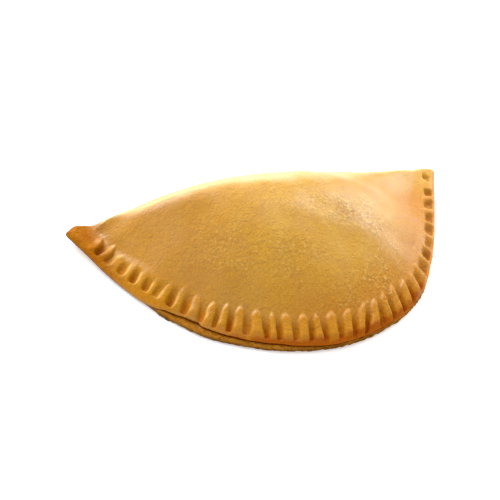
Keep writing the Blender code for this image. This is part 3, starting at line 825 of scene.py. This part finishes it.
def noise(tree, place, size, detail, roughness, distortion):
    """A noise of about this size, in metres."""
    inputs = {"Vector": place, "Scale": 1.0 / size, "Detail": detail}
    inputs |= {"Roughness": roughness, "Distortion": distortion}
    return put(tree, "ShaderNodeTexNoise", inputs).outputs["Fac"]


def ramp(tree, value, low, high):
    """value spread from 0 at low to 1 at high, eased."""
    inputs = {"Value": value, "From Min": low, "From Max": high}
    return put(tree, "ShaderNodeMapRange", inputs, interpolation_type="SMOOTHSTEP").outputs["Result"]


def pattern(tree, place, name):
    """One of the named patterns: a noise, spread by its ramp."""
    *settings, low, high = PATTERNS[name]
    return ramp(tree, noise(tree, place, *settings), low, high)


def maths(tree, operation, a, b):
    return put(tree, "ShaderNodeMath", {0: a, 1: b}, operation=operation).outputs[0]


def times(tree, a, b):
    return maths(tree, "MULTIPLY", a, b)


def partly(tree, value, least):
    """value from 0 to 1, brought between least and 1."""
    return maths(tree, "ADD", least, times(tree, value, 1.0 - least))


def blend(tree, weight, a, b):
    """Colour b over colour a by weight."""
    made = put(tree, "ShaderNodeMix", data_type="RGBA")
    for key, value in ((0, weight), (6, a), (7, b)):
        if isinstance(value, bpy.types.NodeSocket):
            tree.links.new(value, made.inputs[key])
        else:
            made.inputs[key].default_value = value
    return made.outputs[2]


def mask(tree, name):
    return put(tree, "ShaderNodeAttribute", attribute_name=name).outputs["Fac"]


def rgb(red, green, blue):
    return (red, green, blue, 1.0)


GOLD = rgb(0.52, 0.25, 0.004)
PALE_GOLD = rgb(0.56, 0.29, 0.010)
AMBER = rgb(0.48, 0.178, 0.004)
TOASTED = rgb(0.40, 0.155, 0.004)
BROWNED = rgb(0.38, 0.090, 0.001)
TIP_BROWN = rgb(0.32, 0.10, 0.002)
RIDGE_GOLD = rgb(0.52, 0.205, 0.008)
FLAKE = rgb(0.66, 0.38, 0.035)
UNDER_BROWN = rgb(0.20, 0.075, 0.012)
# Painted highlight along the fold's crest
CREST_HIGHLIGHT_CREAM = rgb(0.68, 0.45, 0.13)
# Painted shade on the fold's wall, which faces the back light
WALL_SHADE_BROWN = rgb(0.27, 0.115, 0.010)
# Painted glints in the crazed egg wash
PAINTED_GLINT = rgb(0.75, 0.50, 0.14)
SEAM_BROWN = rgb(0.17, 0.035, 0.001)
# Painted contact shadow along the bottom of the edge, next to the tray
CONTACT_SHADOW_BROWN = rgb(0.13, 0.044, 0.002)
RAW_EDGE = rgb(0.47, 0.19, 0.016)
EDGE_SPECK = rgb(0.24, 0.08, 0.008)
UNDER_BAKED = rgb(0.34, 0.16, 0.03)

PATTERNS = {
    # size, detail, roughness and distortion of the noise, and where its ramp begins and ends
    "drift": (28 * MM, 2.0, 0.55, 0.0, 0.38, 0.62),
    "mottle": (7 * MM, 4.0, 0.6, 0.0, 0.42, 0.68),
    "flecks": (1.6 * MM, 4.0, 0.7, 1.5, 0.55, 0.72),
    "flour": (1.9 * MM, 4.0, 0.7, 2.0, 0.60, 0.74),
    "unevenness": (4 * MM, 3.0, 0.55, 0.0, 0.2, 0.6),
    "specks": (1.2 * MM, 3.0, 0.7, 0.0, 0.56, 0.70),
    "scorch": (11 * MM, 5.0, 0.65, 0.8, 0.42, 0.66),
    "crazed_patches": (6 * MM, 3.0, 0.55, 0.0, 0.40, 0.60),
    "thin_wash": (10 * MM, 3.0, 0.55, 0.0, 0.3, 0.7),
}
# Size, detail, roughness and distortion
SPARKLE = (1.0 * MM, 2.0, 0.6, 0.6)
WRINKLES = (1.7 * MM, 3.0, 0.6, 0.8)
FINE_GRAIN = (0.7 * MM, 3.0, 0.6, 0.0)
# Ramps of the sparkle noise for the painted glints and for the painted shade in the pits between them
GLINT_RAMP = (0.52, 0.62)
PIT_RAMP = (0.50, 0.40)
RIM_BAKE_STRENGTH = 1.2
LIGHT_BAKE = (0.0, 0.6)
DARK_BAKE = (0.6, 1.1)
LEAST_BAKE = 0.6
LEAST_CRAZED = 0.35
THINNER_WASH = 0.3
CRACK_SCALE = 430.0
CRACK_RAMP = (0.0, 0.10)
BENDING_SCALE = 500.0
BENDING = (0.0012, 0.0012, 0.0012)  # how far the crackle's lines wander, in metres
BUMP_STRENGTH = 0.9
BUMP_DISTANCE = 0.6 * MM
PASTRY_GLOSS = {"Roughness": 0.7, "Specular IOR Level": 0.04, "Coat Roughness": 0.32, "Coat IOR": 1.6}


def crackle(tree, place):
    """Fine cells with thin edges that wander: the distance to the edge of cells on bent coordinates."""
    wander = put(tree, "ShaderNodeTexNoise", {"Vector": place, "Scale": BENDING_SCALE}).outputs["Color"]
    bent = put(tree, "ShaderNodeVectorMath", {0: wander, 1: BENDING, 2: place}, operation="MULTIPLY_ADD")
    inputs = {"Vector": bent.outputs[0], "Scale": CRACK_SCALE}
    cells = put(tree, "ShaderNodeTexVoronoi", inputs, feature="DISTANCE_TO_EDGE")
    return ramp(tree, cells.outputs["Distance"], *CRACK_RAMP)


def pastry_colour(tree, place, painted_glints, painted_pit_shade):
    """The pastry's colour: gold, then one layer over another, each by its mask and its strength."""
    flour, unevenness = pattern(tree, place, "flour"), pattern(tree, place, "unevenness")
    bake = maths(tree, "ADD", times(tree, mask(tree, "rim_bake"), RIM_BAKE_STRENGTH), mask(tree, "fork_mark"))
    bake = times(tree, bake, partly(tree, unevenness, LEAST_BAKE))
    tip_bake = times(tree, mask(tree, "tip_bake"), partly(tree, unevenness, LEAST_BAKE))
    crumb = blend(tree, pattern(tree, place, "specks"), RAW_EDGE, EDGE_SPECK)
    sole = blend(tree, pattern(tree, place, "scorch"), UNDER_BAKED, UNDER_BROWN)
    sole = blend(tree, times(tree, flour, 0.6), sole, FLAKE)
    # Some of these layers are painted light and shade rather than the pastry's own colour
    colour_layers = (
        # where, strength, colour
        (pattern(tree, place, "mottle"), 0.3, TOASTED),
        (pattern(tree, place, "flecks"), 0.45, TOASTED),
        (flour, 0.5, FLAKE),
        (mask(tree, "foot_bake"), 0.8, AMBER),
        # painted shade, darker towards the left
        (mask(tree, "painted_left_shade"), 0.65, TOASTED),
        (mask(tree, "matt_seal"), 0.30, TOASTED),
        # painted highlight along the fold's crest
        (mask(tree, "painted_crest_highlight"), 0.7, CREST_HIGHLIGHT_CREAM),
        # painted shade on the fold's back-lit wall
        (mask(tree, "painted_wall_shade"), 0.85, WALL_SHADE_BROWN),
        (mask(tree, "ridge"), 0.4, RIDGE_GOLD),
        (ramp(tree, bake, *LIGHT_BAKE), 1.0, AMBER),
        (ramp(tree, bake, *DARK_BAKE), 1.0, BROWNED),
        (tip_bake, 1.0, TIP_BROWN),
        (mask(tree, "cut_dough"), 1.0, crumb),
        # painted contact shadow along the bottom of the edge
        (mask(tree, "painted_contact_shadow"), 1.0, CONTACT_SHADOW_BROWN),
        (mask(tree, "seam_dark"), 0.9, SEAM_BROWN),
        (mask(tree, "underside"), 0.95, sole),
        # painted glints, and painted shade in the low pits of the crazed wash
        (painted_glints, 0.8, PAINTED_GLINT),
        (painted_pit_shade, 0.8, TOASTED),
    )
    colour = blend(tree, pattern(tree, place, "drift"), GOLD, PALE_GOLD)
    for where, strength, layer_colour in colour_layers:
        colour = blend(tree, times(tree, where, strength), colour, layer_colour)
    return colour


def egg_wash(tree, place):
    """The weight of the glossy wash: patchy, and worn off where the dough is matt."""
    matt_places = (
        # where, strength
        ("cut_dough", 1.0),
        ("underside", 1.0),
        ("fork_mark", 1.0),
        ("rim_bake", 1.0),
        ("tip_bake", 1.0),
        ("ridge", 0.6),
        ("foot_bake", 0.4),
        ("painted_wall_shade", 0.8),
        ("matt_seal", 0.8),
    )
    matt = 0.0
    for where, strength in matt_places:
        matt = maths(tree, "MAXIMUM", matt, times(tree, mask(tree, where), strength))
    wash = maths(tree, "SUBTRACT", 1.0, times(tree, pattern(tree, place, "thin_wash"), THINNER_WASH))
    return times(tree, wash, maths(tree, "SUBTRACT", 1.0, matt))


def pastry():
    """Baked shortcrust: gold that browns at the rim, the tips and the marks, under a crackled egg wash."""
    material, tree, shader = new_material("baked_pastry")
    place = put(tree, "ShaderNodeTexCoord").outputs["Object"]
    patches = partly(tree, pattern(tree, place, "crazed_patches"), LEAST_CRAZED)
    crazed = times(tree, mask(tree, "crazed"), patches)
    sparkle = noise(tree, place, *SPARKLE)
    # Painted glints on the sparkle's high spots and painted shade in its low pits
    painted_glints = times(tree, ramp(tree, sparkle, *GLINT_RAMP), crazed)
    painted_pit_shade = times(tree, ramp(tree, sparkle, *PIT_RAMP), crazed)
    reliefs = (
        # relief, strength
        (crackle(tree, place), 0.12),
        (noise(tree, place, *WRINKLES), 1.35),
        (noise(tree, place, *FINE_GRAIN), 0.45),
        (times(tree, sparkle, crazed), 2.4),
    )
    bumps = 0.0
    for relief, strength in reliefs:
        bumps = maths(tree, "ADD", bumps, times(tree, relief, strength))
    inputs = {"Height": bumps, "Strength": BUMP_STRENGTH, "Distance": BUMP_DISTANCE}
    bump = put(tree, "ShaderNodeBump", inputs)
    tree.links.new(pastry_colour(tree, place, painted_glints, painted_pit_shade), shader.inputs["Base Color"])
    tree.links.new(egg_wash(tree, place), shader.inputs["Coat Weight"])
    tree.links.new(bump.outputs["Normal"], shader.inputs["Normal"])
    for socket, value in PASTRY_GLOSS.items():
        shader.inputs[socket].default_value = value
    return material


def plain(name, colour, roughness):
    material, _, shader = new_material(name)
    shader.inputs["Base Color"].default_value = colour
    shader.inputs["Roughness"].default_value = roughness
    return material


# The pie

shift = plan_shift()
grid, masks = crust_grid()
skin = closed_skin("crust", grid + shift, masks)
crust = add_object("crust", skin, pastry())
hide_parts("meat_pie")
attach(crust, "root")


# Floor, camera and lights


def add_floor():
    """A pale, matt, level square that glows a little."""
    side = FLOOR_HALF_SIDE
    corners = [(-side, -side, 0.0), (side, -side, 0.0), (side, side, 0.0), (-side, side, 0.0)]
    mesh = bpy.data.meshes.new("floor")
    mesh.from_pydata(corners, [], [(0, 1, 2, 3)])
    material = plain("pale_floor", rgb(FLOOR_WHITE, FLOOR_WHITE, FLOOR_WHITE), FLOOR_ROUGHNESS)
    shader = material.node_tree.nodes["Principled BSDF"]
    shader.inputs["Emission Color"].default_value = rgb(1.0, 1.0, 1.0)
    shader.inputs["Emission Strength"].default_value = FLOOR_GLOW
    floor = add_object("floor", mesh, material)


def add_camera():
    """Looks at the aim point from its azimuth and elevation, turned about its own axis by the roll."""
    aim = Vector(AIM) + Vector(shift)
    flat = math.cos(CAMERA_ELEVATION)
    across, behind = math.sin(CAMERA_AZIMUTH) * flat, math.cos(CAMERA_AZIMUTH) * flat
    back = Vector((across, -behind, math.sin(CAMERA_ELEVATION)))
    upright = back.to_track_quat("Z", "Y").to_matrix().to_4x4()
    camera = bpy.data.objects.new("camera", bpy.data.cameras.new("camera"))
    camera.data.lens = LENS
    camera.data.clip_start = 0.01
    camera.matrix_world = (
        Matrix.Translation(aim + back * CAMERA_DISTANCE) @ upright @ Matrix.Rotation(CAMERA_ROLL, 4, "Z")
    )
    bpy.context.scene.collection.objects.link(camera)
    bpy.context.scene.camera = camera


def add_lamp(name, azimuth, elevation, distance, width, height, radiance):
    """A rectangular soft light that faces the pie; its azimuth is 0 in front and 90 to the right.

    Its power is pi times its area times the radiance that it shows.
    """
    lamp = bpy.data.objects.new(name, bpy.data.lights.new(name, "AREA"))
    lamp.data.shape = "RECTANGLE"
    lamp.data.size = width
    lamp.data.size_y = height
    lamp.data.energy = math.pi * width * height * radiance
    turn, rise = math.radians(azimuth), math.radians(elevation)
    way = Vector((math.sin(turn) * math.cos(rise), -math.cos(turn) * math.cos(rise), math.sin(rise)))
    lamp.location = way * distance
    lamp.rotation_euler = way.to_track_quat("Z", "Y").to_euler()
    bpy.context.scene.collection.objects.link(lamp)


def add_studio():
    """An even white world with the lamps round the pie."""
    scene = bpy.context.scene
    scene.view_settings.view_transform = "Standard"
    world = bpy.data.worlds.new("studio")
    world.use_nodes = True
    background = world.node_tree.nodes["Background"]
    background.inputs["Color"].default_value = rgb(1.0, 1.0, 1.0)
    background.inputs["Strength"].default_value = WORLD_LIGHT
    scene.world = world
    for lamp in LAMPS:
        add_lamp(*lamp)


add_floor()
add_camera()
add_studio()
